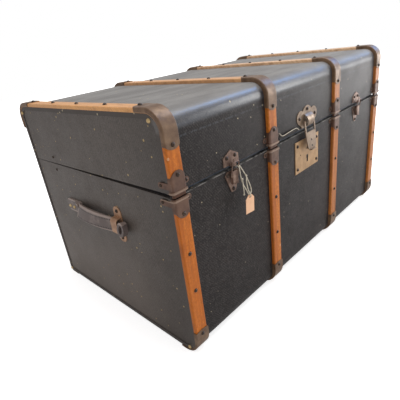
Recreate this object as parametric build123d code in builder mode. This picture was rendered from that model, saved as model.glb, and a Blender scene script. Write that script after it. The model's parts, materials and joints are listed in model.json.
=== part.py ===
"""Wood-slatted travel trunk: canvas-covered case, hinged lid, steel fittings and leather handles.

Millimetres. X runs along the length, -Y is the front with the lock, +Z is up.
The origin is on the floor, under the middle of the case.
"""
from build123d import *
from math import asin, cos, degrees, radians, sin, tan
import os

os.makedirs("parts", exist_ok=True)

# ---------------------------------------------------------------- case
length = 914.0
depth = 541.0
body_height = 496.0
lid_height = 137.0
wall = 9.0
end_thickness = 10.0
end_inset = 1.5
front_top_radius = 30.0
back_top_radius = 30.0
front_bottom_radius = 36.0
back_bottom_radius = 12.0
least_radius = 1.0
seam_clearance = 0.6
ajar_rise = 7.0

# tongue and paper lining
tongue_thickness = 6.0
tongue_rise = 20.0
tongue_drop = 34.0
tongue_clearance = 1.0
lining = 1.5
lining_gap = 4.0

# ---------------------------------------------------------------- slats, caps and clasps
slat_width = 31.0
slat_thickness = 8.0
slat_round = 3.0
slat_spacing = 309.0
slat_toe = 1.5
toe_length = 10.0
fitting_clearance = 0.3
sheet = 1.2
cap_top_leg = 25.0
cap_face_leg = 22.0
cap_base_leg = 17.0
cap_arch = 8.0
cap_base_arch = 3.0
cap_round = 3.0
cap_top_nail_back = 6.0
cap_face_nail_back = 8.5
cap_base_nail_back = 10.0
clasp_lid_height = 41.5
clasp_base_height = 38.5
clasp_nail_back = 7.5
clasp_bead = 1.6
clasp_bead_height = 3.2
clasp_bead_back = 2.0
tenon_drop = 6.0
tenon_clearance = 0.8
mouth_depth = 7.5
ear_length = 14.5
ear_width = 11.5
ear_lid_rise = 15.0
ear_base_drop = 10.0
ear_rivet_out = 8.5
end_ear_lid_rivet = 20.0
end_ear_base_rivet = 23.0
end_ear_margin = 7.0
iron_rise = 26.0
iron_reach = 40.0

# ---------------------------------------------------------------- nails
nail_radius = 4.3
nail_height = 3.4
rivet_radius = 3.2
rivet_height = 2.6
slat_nail_heights = ((161.0, 244.5), (148.0, 242.0), (142.0, 237.0), (142.0, 237.0))
top_nail_count = 5
lid_front_brass = (21.5, 11.5)
lid_back_brass = (8.7, 16.1)
base_front_brass = (20.8, 8.4)
base_back_brass = (6.7, 6.7)
dark_nail_back = 109.0
dark_nail_offset = 15.5

# ---------------------------------------------------------------- hinges
hinge_spacing = 600.0
leaf_width = 60.0
leaf_height = 38.0
leaf_thickness = 2.0
hinge_stand_off = 4.5
knuckle_radius = 4.2
knuckle_width = 24.0
knuckle_gap = 0.4
hinge_pin_radius = 2.0
running_clearance = 0.06
leaf_notch = 0.8
leaf_screw_x = 20.0
leaf_screw_z = 24.0
pin_stick_out = 1.5

# ---------------------------------------------------------------- lock and hasp
lock_x = 3.5
lock_width = 116.0
lock_height = 82.0
lock_drop = 60.0
plate = 1.6
lock_nail_x = 48.0
lock_nail_z = 30.0
keyhole_radius = 3.2
keyhole_width = 4.0
keyhole_drop = 8.0
keyhole_length = 14.0
staple_slot_rise = 15.0
staple_slot_width = 11.0
staple_slot_height = 7.0
pin_hole_radius = 1.3
pin_hole_x = -34.0
pin_hole_z = 4.0
case_width = 76.0
case_height = 56.0
case_depth = 13.0
case_drop = 66.0
case_sheet = 1.5
case_clearance = 0.5
bolt_length = 36.0
bolt_height = 10.0
bolt_thickness = 5.0
bolt_travel = 8.0
bolt_rise = 15.0
bolt_gap = 0.3

hasp_lobe_radius = 24.0
hasp_lobe_rise = 29.0
hasp_side_x = 31.0
hasp_side_radius = 17.0
hasp_side_rise = 28.0
hasp_foot_width = 52.0
hasp_foot_rise = 1.5
hasp_top_nail_rise = 45.0
hasp_side_nail_x = 37.0
hasp_side_nail_rise = 27.0
hood_width = 34.0
hood_foot_width = 22.0
hood_top = 35.0
hood_bottom = 3.0
hood_depth = 13.0
hood_root = 5.0
pivot_rise = 17.0
pivot_out = 7.0
pivot_radius = 1.8
hasp_leg = 5.0
hasp_window_width = 39.0
hasp_window_drop = 27.0
hasp_length = 73.0
hasp_shoulder = 25.0
hasp_tip_width = 38.0
hasp_thickness = 2.4
hasp_hang = 6.0
hasp_curl = 5.0
hasp_hole_radius = 1.6
hasp_hole_drops = (48.0, 63.0)
hasp_tip_corner = 14.0
hasp_lip_width = 22.0

# ---------------------------------------------------------------- draw latches
latch_spacing = 591.0
latch_half_width = 23.0
latch_shoulder = 19.0
latch_apex = 31.0
latch_foot = 1.5
latch_nail_x = 12.5
latch_nail_z = 17.5
latch_base_top = 3.0
latch_base_top_width = 30.0
latch_base_half_width = 22.0
latch_base_shoulder = 10.0
latch_tip = 48.0
latch_tip_width = 13.0
latch_base_nail_x = 14.5
latch_base_nail_z = 10.0
latch_tip_nail = 42.0
nose_width = 13.0
nose_out = 9.0
nose_bottom = 0.5
nose_height = 8.0
nose_sheet = 2.0
ear_plate_x = 4.5
ear_plate_sheet = 1.5
ear_plate_radius = 2.8
ear_plate_root = 4.0
lever_axis_drop = 5.0
lever_axis_out = 6.0
lever_pin_radius = 1.5
lever_half_width = 8.0
lever_sheet = 1.4
lever_out = 10.5
lever_top = 3.5
lever_bottom = 24.0
lever_lip = 1.5
lever_round = 2.0
lever_back = 3.5
bail_axis_drop = 14.0
bail_axis_out = 7.5
bail_radius = 1.2
bail_gap = 0.9
bail_bar_rise = 16.0
bail_bar_out = 12.5
bail_corner = 2.6
bail_plate_width = 15.0
bail_plate_height = 6.0

# ---------------------------------------------------------------- leather handles
handle_height = 260.0
handle_axis_out = 9.0
handle_tilt = 10.0
bridge_y = -82.0
bridge_width = 22.0
bridge_out = 16.0
bridge_height = 38.0
bridge_corner = 8.0
bridge_plate_width = 27.0
bridge_plate_height = 86.0
bridge_nail_z = 32.5
neck_half_height = 10.0
neck_half_thickness = 2.0
grip_start = -69.8
grip_end = 71.0
grip_half_height = 16.5
grip_corner = 1.5
# stations along the grip: place, out from the axis, turn of the lower edge out, half thickness
grip_stations = [
    (grip_start, 0.0, 0.0, 2.0),
    (-25.0, 6.5, 3.0, 3.6),
    (20.0, 8.3, 8.0, 4.2),
    (grip_end, 4.0, 14.0, 3.2),
]
roll_y = -108.0
roll_half_width = 12.0
roll_half_height = 16.0
roll_eye_half_width = 6.0
roll_eye_half_height = 9.5
roll_depth = 12.0
grip_pin_radius = 2.5
grip_pin_length = 12.0
chape_start = 73.0
chape_end = 142.0
chape_half_height = 16.0
chape_leather = 4.6
chape_boss_out = 13.5
chape_boss_length = 6.0
chape_ramp_length = 20.0
chape_corner = 12.0
chape_rivets = (111.5, 132.0)
chape_rivet_drop = 4.0

# ---------------------------------------------------------------- price tag and string
tag_width = 27.0
tag_height = 39.0
tag_corner = 8.0
tag_thickness = 0.6
tag_out = 26.0
tag_across = 19.0
tag_drop = 63.5
tag_turn = 4.0
tag_hole_radius = 2.0
tag_hole_down = 5.0
string_radius = 1.1
knot_radius = 2.1
bail_ring_rise = 4.0
tag_ring_radius = 2.9
bend_share = 0.45

# Routes on the left latch: across from its middle, out from the canvas, up from the seam.
left_strand = [
    (8.2, 12.7, 3.2), (9.8, 13.0, -6.2), (10.0, 13.6, -15.9), (9.6, 15.4, -24.2),
    (10.0, 17.6, -32.4), (12.5, 20.6, -41.5), (14.1, 23.4, -48.8), (14.9, 25.4, -53.6),
    (17.2, 26.2, -57.1),
]
right_strand = [
    (12.0, 12.5, 3.0), (16.6, 14.4, -6.3), (22.4, 15.8, -17.5), (25.9, 17.6, -27.8),
    (27.9, 20.0, -37.7), (28.6, 22.8, -46.5), (27.0, 24.6, -51.8), (24.0, 25.8, -55.2),
    (20.6, 26.3, -57.0),
]
inner_strand = [
    (21.7, 18.9, -20.4), (19.2, 20.3, -27.2), (17.7, 21.6, -34.8), (16.9, 24.0, -44.9),
    (17.3, 27.0, -53.0), (18.9, 28.1, -57.2),
]
tail_strand = [
    (9.2, 18.2, -24.0), (8.3, 19.6, -31.2), (8.3, 20.2, -39.0), (8.9, 20.2, -46.9),
    (9.4, 19.6, -54.5),
]
tail_join = (10.5, 16.9, -23.2)
inner_join = (22.4, 17.8, -19.4)

# ---------------------------------------------------------------- places worked out from the sizes
sole = slat_toe + fitting_clearance + sheet
left = -length / 2
front = -depth / 2
back = depth / 2
bottom = sole
top = sole + body_height
seam = sole + body_height - lid_height
lid_rim = seam + seam_clearance
cavity_half_x = length / 2 - end_inset - end_thickness
cavity_half_y = depth / 2 - wall
tongue_low = seam - tongue_drop
hinge_z = seam + seam_clearance / 2
hinge_y = back + hinge_stand_off
ajar_angle = degrees(asin(ajar_rise / (hinge_y - front)))
hinge_line = Axis((0, hinge_y, hinge_z), (1, 0, 0))
outer_slat_x = (length - slat_width) / 2
slat_places = (-outer_slat_x, -slat_spacing / 2, slat_spacing / 2, outer_slat_x)
skin = fitting_clearance + sheet
cap_face_out = slat_thickness + skin
front_face = Plane.XZ.offset(-front)
back_face = Plane(origin=(0, back, 0), x_dir=(-1, 0, 0), z_dir=(0, 1, 0))
lock_z = seam - lock_drop
case_z = seam - case_drop
hinge_places = (-hinge_spacing / 2, hinge_spacing / 2)
latch_places = {"left": -latch_spacing / 2, "right": latch_spacing / 2}
sides = {"left": -1, "right": 1}


def finish(piece, name):
    """Name a piece that stands as modelled and write it."""
    piece.part.label = name
    export_step(piece.part, f"parts/{name}.step")


def finish_on_lid(piece, name):
    """Turn a piece of the closed lid up to its resting place, name it and write it."""
    raised = piece.part.rotate(hinge_line, -ajar_angle)
    raised.label = name
    export_step(raised, f"parts/{name}.step")


def end_face(side, inset=end_inset):
    """Plane on an end of the case, facing out: local x along the depth, local y up."""
    return Plane(
        origin=(side * (length / 2 - inset), 0, 0),
        x_dir=(0, side, 0),
        z_dir=(side, 0, 0),
    )


def case_outline(inset, mode=Mode.ADD):
    """Rounded side outline of the case, moved inwards by inset, as a face of the open sketch."""
    corner_radii = (front_bottom_radius, back_bottom_radius, back_top_radius, front_top_radius)
    with BuildLine() as outline:
        FilletPolyline(
            (front + inset, bottom + inset),
            (back - inset, bottom + inset),
            (back - inset, top - inset),
            (front + inset, top - inset),
            radius=[max(corner - inset, least_radius) for corner in corner_radii],
            close=True,
        )
    make_face(outline.edges(), mode=mode)


# ================================================================ case shells
def wrap(keep, height):
    """Bent board that makes the front, the back and the bottom or the top."""
    with BuildPart() as shell:
        with BuildSketch(Plane.YZ.offset(left)):
            case_outline(0)
            case_outline(wall, mode=Mode.SUBTRACT)
        extrude(amount=length)
        split(bisect_by=Plane.XY.offset(height), keep=keep)
        if keep == Keep.BOTTOM:
            with BuildSketch(front_face):
                with Locations((lock_x, case_z)):
                    Rectangle(case_width + 2 * case_clearance, case_height + 2 * case_clearance)
            extrude(amount=-wall, mode=Mode.SUBTRACT)
    return shell


def end_board(side, keep, height):
    """Flat board that closes one end of the wrap."""
    with BuildPart() as board:
        with BuildSketch(Plane.YZ.offset(side * (length / 2 - end_inset))):
            case_outline(wall)
        extrude(amount=-side * end_thickness)
        split(bisect_by=Plane.XY.offset(height), keep=keep)
    return board


def paper_lining(keep, height):
    """Thin lining of the cavity on one side of a height."""
    with BuildPart() as paper:
        with BuildSketch(Plane.YZ.offset(-cavity_half_x)):
            case_outline(wall)
        extrude(amount=2 * cavity_half_x)
        with BuildSketch(Plane.YZ.offset(-cavity_half_x + lining)):
            case_outline(wall + lining)
        extrude(amount=2 * (cavity_half_x - lining), mode=Mode.SUBTRACT)
        split(bisect_by=Plane.XY.offset(height), keep=keep)
        if keep == Keep.BOTTOM:
            with BuildSketch(front_face.offset(-wall)):
                with Locations((lock_x, case_z)):
                    Rectangle(case_width + 2 * case_clearance, case_height + 2 * case_clearance)
            extrude(amount=-lining, mode=Mode.SUBTRACT)
    return paper


finish(wrap(Keep.BOTTOM, seam), "base_wrap")
finish_on_lid(wrap(Keep.TOP, lid_rim), "lid_wrap")
for side_name, side in sides.items():
    finish(end_board(side, Keep.BOTTOM, seam), f"base_{side_name}_end")
    finish_on_lid(end_board(side, Keep.TOP, lid_rim), f"lid_{side_name}_end")
finish(paper_lining(Keep.BOTTOM, tongue_low), "base_lining")
finish_on_lid(paper_lining(Keep.TOP, seam + tongue_rise + lining_gap), "lid_lining")

# rebated tongue: the lower part is fixed to the walls, the upper part enters the lid
with BuildPart() as base_tongue:
    inner_x = cavity_half_x - tongue_thickness
    inner_y = cavity_half_y - tongue_thickness
    with BuildSketch(Plane.XY.offset(tongue_low)):
        Rectangle(2 * cavity_half_x, 2 * cavity_half_y)
        Rectangle(2 * inner_x, 2 * inner_y, mode=Mode.SUBTRACT)
    extrude(amount=seam - tongue_low)
    with BuildSketch(Plane.XY.offset(seam)):
        Rectangle(2 * (cavity_half_x - tongue_clearance), 2 * (cavity_half_y - tongue_clearance))
        Rectangle(2 * inner_x, 2 * inner_y, mode=Mode.SUBTRACT)
    extrude(amount=tongue_rise)
finish(base_tongue, "base_tongue")


# ================================================================ slats
def slat_profile(place, width, out, corner):
    """Slat section in plan on the front of the case, as a face of the open sketch."""
    with BuildLine() as outline:
        FilletPolyline(
            (place - width / 2, front),
            (place - width / 2, front - out),
            (place + width / 2, front - out),
            (place + width / 2, front),
            radius=[corner, corner],
        )
        Line((place + width / 2, front), (place - width / 2, front))
    make_face(outline.edges())


def toe_outline(out, under, high, reach):
    """Side outline of the turn under the front, out from the face and under the bottom."""
    with BuildLine() as outline:
        FilletPolyline(
            (front, high),
            (front - out, high),
            (front - out, bottom - under),
            (reach, bottom - under),
            (reach, bottom),
            (front, bottom),
            radius=[0, 0, front_bottom_radius + out, 0, 0, front_bottom_radius],
            close=True,
        )
    make_face(outline.edges())


toe_top = bottom - slat_toe + front_bottom_radius + slat_thickness
toe_end = front + front_bottom_radius + toe_length


def base_slat(place):
    """Slat down the front of the base, thinned where it turns under the bottom."""
    with BuildPart() as slat:
        with BuildSketch(Plane.XY.offset(toe_top)):
            slat_profile(place, slat_width, slat_thickness, slat_round)
        extrude(amount=seam - mouth_depth - toe_top)
        with BuildSketch(Plane.YZ.offset(place)):
            toe_outline(slat_thickness, slat_toe, toe_top, toe_end)
        extrude(amount=slat_width / 2, both=True)
    return slat


lid_slat_end = top - back_top_radius - cap_face_leg


def lid_slat(place):
    """Slat up the front of the lid, over the top and down behind, with a tenon below the rim."""
    with BuildPart() as slat:
        with BuildLine(Plane.YZ.offset(place)):
            FilletPolyline(
                (front, lid_rim),
                (front, top),
                (back, top),
                (back, lid_slat_end),
                radius=[front_top_radius, back_top_radius],
            )
        with BuildSketch(Plane.XY.offset(lid_rim)):
            slat_profile(place, slat_width, slat_thickness, slat_round)
        sweep()
        with BuildSketch(Plane.XY.offset(lid_rim)):
            with Locations((place, front - slat_thickness / 2)):
                RectangleRounded(
                    slat_width - 2 * tenon_clearance,
                    slat_thickness - 2 * tenon_clearance,
                    slat_round - tenon_clearance,
                )
        extrude(amount=-tenon_drop)
    return slat


for number, place in enumerate(slat_places, start=1):
    finish(base_slat(place), f"base_slat_{number}")
    finish_on_lid(lid_slat(place), f"lid_slat_{number}")


# ================================================================ steel caps on the slats
fitting_width = slat_width + 2 * skin


def shoulders(place, root, toward, rise):
    """Corners outside a fitting's arched end in the open sketch, towards +1 or -1 along local y."""
    half = fitting_width / 2
    beyond = root + toward * (rise + sheet)
    with BuildLine() as outline:
        ThreePointArc((place - half, root), (place, root + toward * rise), (place + half, root))
        Polyline(
            (place + half, root), (place + half, beyond), (place - half, beyond), (place - half, root)
        )
    make_face(outline.edges())


with BuildPart() as case_block:
    with BuildSketch(Plane.YZ.offset(-length / 2)):
        case_outline(0)
    extrude(amount=length)


def outer_rims(cap):
    """Edges along both sides of the outer face of a cap that is still a solid block."""
    lengthwise = cap.edges().filter_by(Axis.X, reverse=True)
    return [edge for edge in lengthwise if edge.distance_to(case_block.part) > sheet / 2]


def corner_outline(sign, corner, out):
    """Side outline of a cap over a top corner: sign is -1 at the front and +1 at the back."""
    leg_low = top - corner - cap_face_leg - cap_arch
    leg_in = depth / 2 - corner - cap_top_leg - cap_arch
    with BuildLine() as outline:
        FilletPolyline(
            (sign * depth / 2, leg_low),
            (sign * (depth / 2 + out), leg_low),
            (sign * (depth / 2 + out), top + out),
            (sign * leg_in, top + out),
            (sign * leg_in, top),
            (sign * depth / 2, top),
            radius=[0, 0, corner + out, 0, 0, corner],
            close=True,
        )
    make_face(outline.edges())


def corner_cap(place, sign, corner):
    """Pressed cap that straddles a slat where it turns over a top corner of the lid."""
    face = Plane(origin=(0, sign * (depth / 2), 0), x_dir=(1, 0, 0), z_dir=(0, sign, 0))
    face_up = 1 if sign < 0 else -1
    with BuildPart() as cap:
        with BuildSketch(Plane.YZ.offset(place)):
            corner_outline(sign, corner, cap_face_out)
        extrude(amount=fitting_width / 2, both=True)
        fillet(outer_rims(cap), radius=cap_round)
        with BuildSketch(Plane.YZ.offset(place)):
            corner_outline(sign, corner, slat_thickness + fitting_clearance)
        extrude(amount=slat_width / 2 + fitting_clearance, both=True, mode=Mode.SUBTRACT)
        with BuildSketch(face):
            shoulders(place, face_up * (top - corner - cap_face_leg), -face_up, cap_arch)
        extrude(amount=cap_face_out, mode=Mode.SUBTRACT)
        with BuildSketch(Plane.XY.offset(top)):
            shoulders(place, sign * (depth / 2 - corner - cap_top_leg), -sign, cap_arch)
        extrude(amount=cap_face_out, mode=Mode.SUBTRACT)
    return cap


base_cap_top = toe_top + cap_base_leg


def bottom_cap(place):
    """Pressed cap round the slat's toe at the bottom front edge."""
    crown = base_cap_top + cap_base_arch
    with BuildPart() as cap:
        with BuildSketch(Plane.YZ.offset(place)):
            toe_outline(cap_face_out, sole, crown, toe_end)
        extrude(amount=fitting_width / 2, both=True)
        with BuildSketch(Plane.YZ.offset(place)):
            toe_outline(
                slat_thickness + fitting_clearance, slat_toe + fitting_clearance, crown, toe_end
            )
        extrude(amount=slat_width / 2 + fitting_clearance, both=True, mode=Mode.SUBTRACT)
        with BuildSketch(front_face):
            shoulders(place, base_cap_top, 1, cap_base_arch)
        extrude(amount=cap_face_out, mode=Mode.SUBTRACT)
    return cap


for number, place in enumerate(slat_places, start=1):
    finish(bottom_cap(place), f"base_cap_{number}")
    finish_on_lid(corner_cap(place, -1, front_top_radius), f"lid_front_cap_{number}")

with BuildPart() as lid_back_caps:
    for place in slat_places:
        add(corner_cap(place, 1, back_top_radius))
finish_on_lid(lid_back_caps, "lid_back_caps")

# flat corner irons along the bottom back edge, as thick as the front caps are below the case
with BuildPart() as base_back_irons:
    for place in slat_places:
        with BuildSketch(Plane.YZ.offset(place)):
            with BuildLine():
                FilletPolyline(
                    (back - iron_reach, 0),
                    (back + sheet, 0),
                    (back + sheet, iron_rise),
                    (back, iron_rise),
                    (back, bottom),
                    (back - iron_reach, bottom),
                    radius=[0, back_bottom_radius + sheet, 0, 0, back_bottom_radius, 0],
                    close=True,
                )
            make_face()
        extrude(amount=slat_width / 2, both=True)
finish(base_back_irons, "base_back_irons")


# ================================================================ clasps where the slats meet the seam
def ear_outline(root, toward, middle, reach):
    """Round-ended ear in the open sketch, from its root along local x."""
    straight = reach - ear_width / 2
    with Locations((root + toward * straight / 2, middle)):
        Rectangle(straight, ear_width)
    with Locations((root + toward * straight, middle)):
        Circle(ear_width / 2)


def clasp_ring(place, start, end, extra):
    """U-shaped band round the slat between two heights, as solid, in the open part."""
    with BuildSketch(Plane.XY.offset(start)) as section:
        slat_profile(place, fitting_width + 2 * extra, cap_face_out + extra, slat_round + skin)
    extrude(section.sketch, amount=end - start)


def clasp(place, rim, toward, height, ear_middle, end_rivet):
    """Ferrule on a slat's end at the seam: band with an arched end, beaded rim, two nailed ears."""
    at_end = abs(place) == outer_slat_x
    middle = rim + toward * ear_middle
    arch_root = rim + toward * (height - fitting_width / 2)
    bead_start = rim + toward * clasp_bead_back
    with BuildPart() as band:
        clasp_ring(place, rim, rim + toward * height, 0)
        with BuildSketch(front_face):
            shoulders(place, arch_root, toward, fitting_width / 2)
        extrude(amount=cap_face_out, mode=Mode.SUBTRACT)
        clasp_ring(place, bead_start, bead_start + toward * clasp_bead_height, clasp_bead)
        for out in (-1, 1):
            if at_end and out * place > 0:
                root = front - slat_thickness
                reach = slat_thickness + end_rivet + end_ear_margin
                with BuildSketch(end_face(out, 0).offset(fitting_clearance)):
                    ear_outline(out * root, out, middle, reach)
                extrude(amount=sheet)
            else:
                root = place + out * (slat_width / 2 + fitting_clearance)
                with BuildSketch(front_face):
                    ear_outline(root, out, middle, ear_length)
                extrude(amount=sheet)
        with BuildSketch(Plane.XY.offset(rim)):
            slat_profile(
                place,
                slat_width + 2 * fitting_clearance,
                slat_thickness + fitting_clearance,
                slat_round + fitting_clearance,
            )
        extrude(amount=toward * height, mode=Mode.SUBTRACT)
    return band


with BuildPart() as base_clasps:
    for place in slat_places:
        add(clasp(place, seam, -1, clasp_base_height, ear_base_drop, end_ear_base_rivet))
finish(base_clasps, "base_clasps")

with BuildPart() as lid_clasps:
    for place in slat_places:
        add(clasp(place, lid_rim, 1, clasp_lid_height, ear_lid_rise, end_ear_lid_rivet))
finish_on_lid(lid_clasps, "lid_clasps")


# ================================================================ hinges behind
def knuckle(place, middle, width):
    """Bored knuckle round the hinge line, in the open part."""
    with BuildSketch(Plane.YZ.offset(place + middle - width / 2)) as section:
        with Locations((hinge_y, hinge_z)):
            Circle(knuckle_radius)
            Circle(hinge_pin_radius + running_clearance, mode=Mode.SUBTRACT)
    extrude(section.sketch, amount=width)


outer_knuckle = (leaf_width - knuckle_width) / 2 - knuckle_gap
outer_middle = (leaf_width - outer_knuckle) / 2
leaf_root = knuckle_radius + leaf_notch

with BuildPart() as hinge_base_leaves:
    for place in hinge_places:
        with BuildSketch(back_face):
            with Locations((-place, hinge_z - leaf_root - leaf_height / 2)):
                Rectangle(leaf_width, leaf_height)
            with Locations(
                (-place - outer_middle, hinge_z - leaf_root / 2),
                (-place + outer_middle, hinge_z - leaf_root / 2),
            ):
                Rectangle(outer_knuckle, leaf_root)
        extrude(amount=leaf_thickness)
        knuckle(place, -outer_middle, outer_knuckle)
        knuckle(place, outer_middle, outer_knuckle)
finish(hinge_base_leaves, "hinge_base_leaves")

with BuildPart() as hinge_lid_leaves:
    for place in hinge_places:
        with BuildSketch(back_face):
            with Locations((-place, hinge_z + leaf_root + leaf_height / 2)):
                Rectangle(leaf_width, leaf_height)
            with Locations((-place, hinge_z + leaf_root / 2)):
                Rectangle(knuckle_width, leaf_root)
        extrude(amount=leaf_thickness)
        knuckle(place, 0, knuckle_width)
finish_on_lid(hinge_lid_leaves, "hinge_lid_leaves")

with BuildPart() as hinge_pins:
    for place in hinge_places:
        with BuildSketch(Plane.YZ.offset(place - leaf_width / 2 - pin_stick_out)):
            with Locations((hinge_y, hinge_z)):
                Circle(hinge_pin_radius)
        extrude(amount=leaf_width + 2 * pin_stick_out)
finish(hinge_pins, "hinge_pins")


# ================================================================ lock
with BuildPart() as lock_plate:
    with BuildSketch(front_face):
        with Locations((lock_x, lock_z)):
            Rectangle(lock_width, lock_height)
        with Locations((lock_x, lock_z - keyhole_drop)):
            Circle(keyhole_radius, mode=Mode.SUBTRACT)
        with Locations((lock_x, lock_z - keyhole_drop - keyhole_length / 2)):
            Rectangle(keyhole_width, keyhole_length, mode=Mode.SUBTRACT)
        with Locations((lock_x, lock_z + staple_slot_rise)):
            SlotOverall(staple_slot_width, staple_slot_height, mode=Mode.SUBTRACT)
        with Locations((lock_x + pin_hole_x, lock_z + pin_hole_z)):
            Circle(pin_hole_radius, mode=Mode.SUBTRACT)
    extrude(amount=plate)
finish(lock_plate, "lock_plate")

with BuildPart() as lock_case:
    with BuildSketch(front_face):
        with Locations((lock_x, case_z)):
            Rectangle(case_width, case_height)
    extrude(amount=-case_depth)
    with BuildSketch(front_face):
        with Locations((lock_x, case_z)):
            Rectangle(case_width - 2 * case_sheet, case_height - 2 * case_sheet)
    extrude(amount=case_sheet - case_depth, mode=Mode.SUBTRACT)
finish(lock_case, "lock_case")

with BuildPart() as lock_bolt:
    with BuildSketch(front_face.offset(case_sheet + bolt_gap - case_depth)):
        with Locations((lock_x - bolt_travel, case_z + bolt_rise)):
            Rectangle(bolt_length, bolt_height)
    extrude(amount=bolt_thickness)
finish(lock_bolt, "lock_bolt")

# ================================================================ hasp on the lid
pivot_y = front - pivot_out
pivot_z = lid_rim + pivot_rise

with BuildPart() as hasp_plate:
    with BuildSketch(front_face):
        with Locations((lock_x, lid_rim + hasp_lobe_rise)):
            Circle(hasp_lobe_radius)
        with Locations(
            (lock_x - hasp_side_x, lid_rim + hasp_side_rise),
            (lock_x + hasp_side_x, lid_rim + hasp_side_rise),
        ):
            Circle(hasp_side_radius)
        with BuildLine():
            Polyline(
                (lock_x - hasp_foot_width / 2, lid_rim + hasp_foot_rise),
                (lock_x + hasp_foot_width / 2, lid_rim + hasp_foot_rise),
                (lock_x + hasp_side_x + hasp_side_radius, lid_rim + hasp_side_rise),
                (lock_x - hasp_side_x - hasp_side_radius, lid_rim + hasp_side_rise),
                close=True,
            )
        make_face()
    extrude(amount=plate)
finish_on_lid(hasp_plate, "hasp_plate")

# bulging hood over the hasp's bar, rooted on the plate at its top
with BuildPart() as hasp_hood:
    hood_middle = lid_rim + (hood_top + hood_bottom) / 2
    with BuildSketch(Plane.YZ.offset(lock_x - hood_width / 2)):
        with BuildLine():
            outer = ThreePointArc(
                (front - plate, lid_rim + hood_top),
                (front - hood_depth, hood_middle),
                (front - hood_root, lid_rim + hood_bottom),
            )
            inner = ThreePointArc(
                (front - hood_root + plate, lid_rim + hood_bottom),
                (front - hood_depth + plate, hood_middle),
                (front - plate, lid_rim + hood_top - 2 * plate),
            )
            Line(outer @ 1, inner @ 0)
            Line(inner @ 1, outer @ 0)
        make_face()
    extrude(amount=hood_width)
    with BuildSketch(front_face):
        with BuildLine():
            Polyline(
                (lock_x - hood_width / 2, lid_rim + hood_top),
                (lock_x + hood_width / 2, lid_rim + hood_top),
                (lock_x + hood_foot_width / 2, lid_rim + hood_bottom),
                (lock_x - hood_foot_width / 2, lid_rim + hood_bottom),
                close=True,
            )
        make_face()
    extrude(amount=hood_depth, mode=Mode.INTERSECT)
finish_on_lid(hasp_hood, "hasp_hood")

hasp_half_width = hasp_window_width / 2 + hasp_leg
hasp_plane = Plane(
    origin=(lock_x, pivot_y, pivot_z),
    x_dir=(1, 0, 0),
    z_dir=(0, -cos(radians(hasp_hang)), sin(radians(hasp_hang))),
)

with BuildPart() as hasp:
    with BuildSketch(hasp_plane):
        with BuildLine():
            FilletPolyline(
                (-hasp_half_width, 0),
                (hasp_half_width, 0),
                (hasp_half_width, -hasp_shoulder),
                (hasp_tip_width / 2, -hasp_length),
                (-hasp_tip_width / 2, -hasp_length),
                (-hasp_half_width, -hasp_shoulder),
                radius=[0, 0, hasp_leg, hasp_tip_corner, hasp_tip_corner, hasp_leg],
                close=True,
            )
        make_face()
        with Locations((0, -hasp_window_drop / 2)):
            Rectangle(hasp_window_width, hasp_window_drop, mode=Mode.SUBTRACT)
        with Locations([(0, -drop) for drop in hasp_hole_drops]):
            Circle(hasp_hole_radius, mode=Mode.SUBTRACT)
    extrude(amount=hasp_thickness / 2, both=True)
    with BuildSketch(hasp_plane.offset(-hasp_thickness / 2)):
        with Locations((0, -hasp_length + hasp_thickness / 2)):
            Rectangle(hasp_lip_width, hasp_thickness)
    extrude(amount=hasp_thickness + hasp_curl)
    with BuildSketch(Plane.YZ.offset(lock_x - hasp_half_width)):
        with Locations((pivot_y, pivot_z)):
            Circle(pivot_radius)
    extrude(amount=2 * hasp_half_width)
finish_on_lid(hasp, "hasp")

# ================================================================ draw latches
nose_low = lid_rim - nose_bottom

with BuildPart() as latch_lid_plates:
    for middle in latch_places.values():
        with BuildSketch(front_face):
            with BuildLine():
                Polyline(
                    (middle - latch_half_width, lid_rim + latch_foot),
                    (middle + latch_half_width, lid_rim + latch_foot),
                    (middle + latch_half_width, lid_rim + latch_shoulder),
                    (middle, lid_rim + latch_apex),
                    (middle - latch_half_width, lid_rim + latch_shoulder),
                    close=True,
                )
            make_face()
        extrude(amount=plate)
        with BuildSketch(Plane.YZ.offset(middle - nose_width / 2)):
            with BuildLine():
                Polyline(
                    (front, nose_low),
                    (front - nose_out, nose_low),
                    (front - nose_out, nose_low + nose_height),
                    (front - nose_out + nose_sheet, nose_low + nose_height),
                    (front - nose_out + nose_sheet, nose_low + nose_sheet),
                    (front, nose_low + nose_sheet),
                    close=True,
                )
            make_face()
        extrude(amount=nose_width)
finish_on_lid(latch_lid_plates, "latch_lid_plates")

lever_axis = (front - lever_axis_out, seam - lever_axis_drop)
bail_axis = (front - bail_axis_out, seam - bail_axis_drop)

with BuildPart() as latch_base_plates:
    for middle in latch_places.values():
        with BuildSketch(front_face):
            with BuildLine():
                Polyline(
                    (middle - latch_base_top_width / 2, seam - latch_base_top),
                    (middle + latch_base_top_width / 2, seam - latch_base_top),
                    (middle + latch_base_half_width, seam - latch_base_shoulder),
                    (middle + latch_tip_width / 2, seam - latch_tip),
                    (middle - latch_tip_width / 2, seam - latch_tip),
                    (middle - latch_base_half_width, seam - latch_base_shoulder),
                    close=True,
                )
            make_face()
        extrude(amount=plate)
        for ear in (middle - ear_plate_x - ear_plate_sheet, middle + ear_plate_x):
            with BuildSketch(Plane.YZ.offset(ear)):
                with Locations(lever_axis):
                    Circle(ear_plate_radius)
                    Rectangle(lever_axis_out, ear_plate_root, align=(Align.MIN, Align.CENTER))
            extrude(amount=ear_plate_sheet)
        with BuildSketch(Plane.YZ.offset(middle - lever_half_width)):
            with Locations(lever_axis):
                Circle(lever_pin_radius)
        extrude(amount=2 * lever_half_width)
finish(latch_base_plates, "latch_base_plates")


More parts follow.
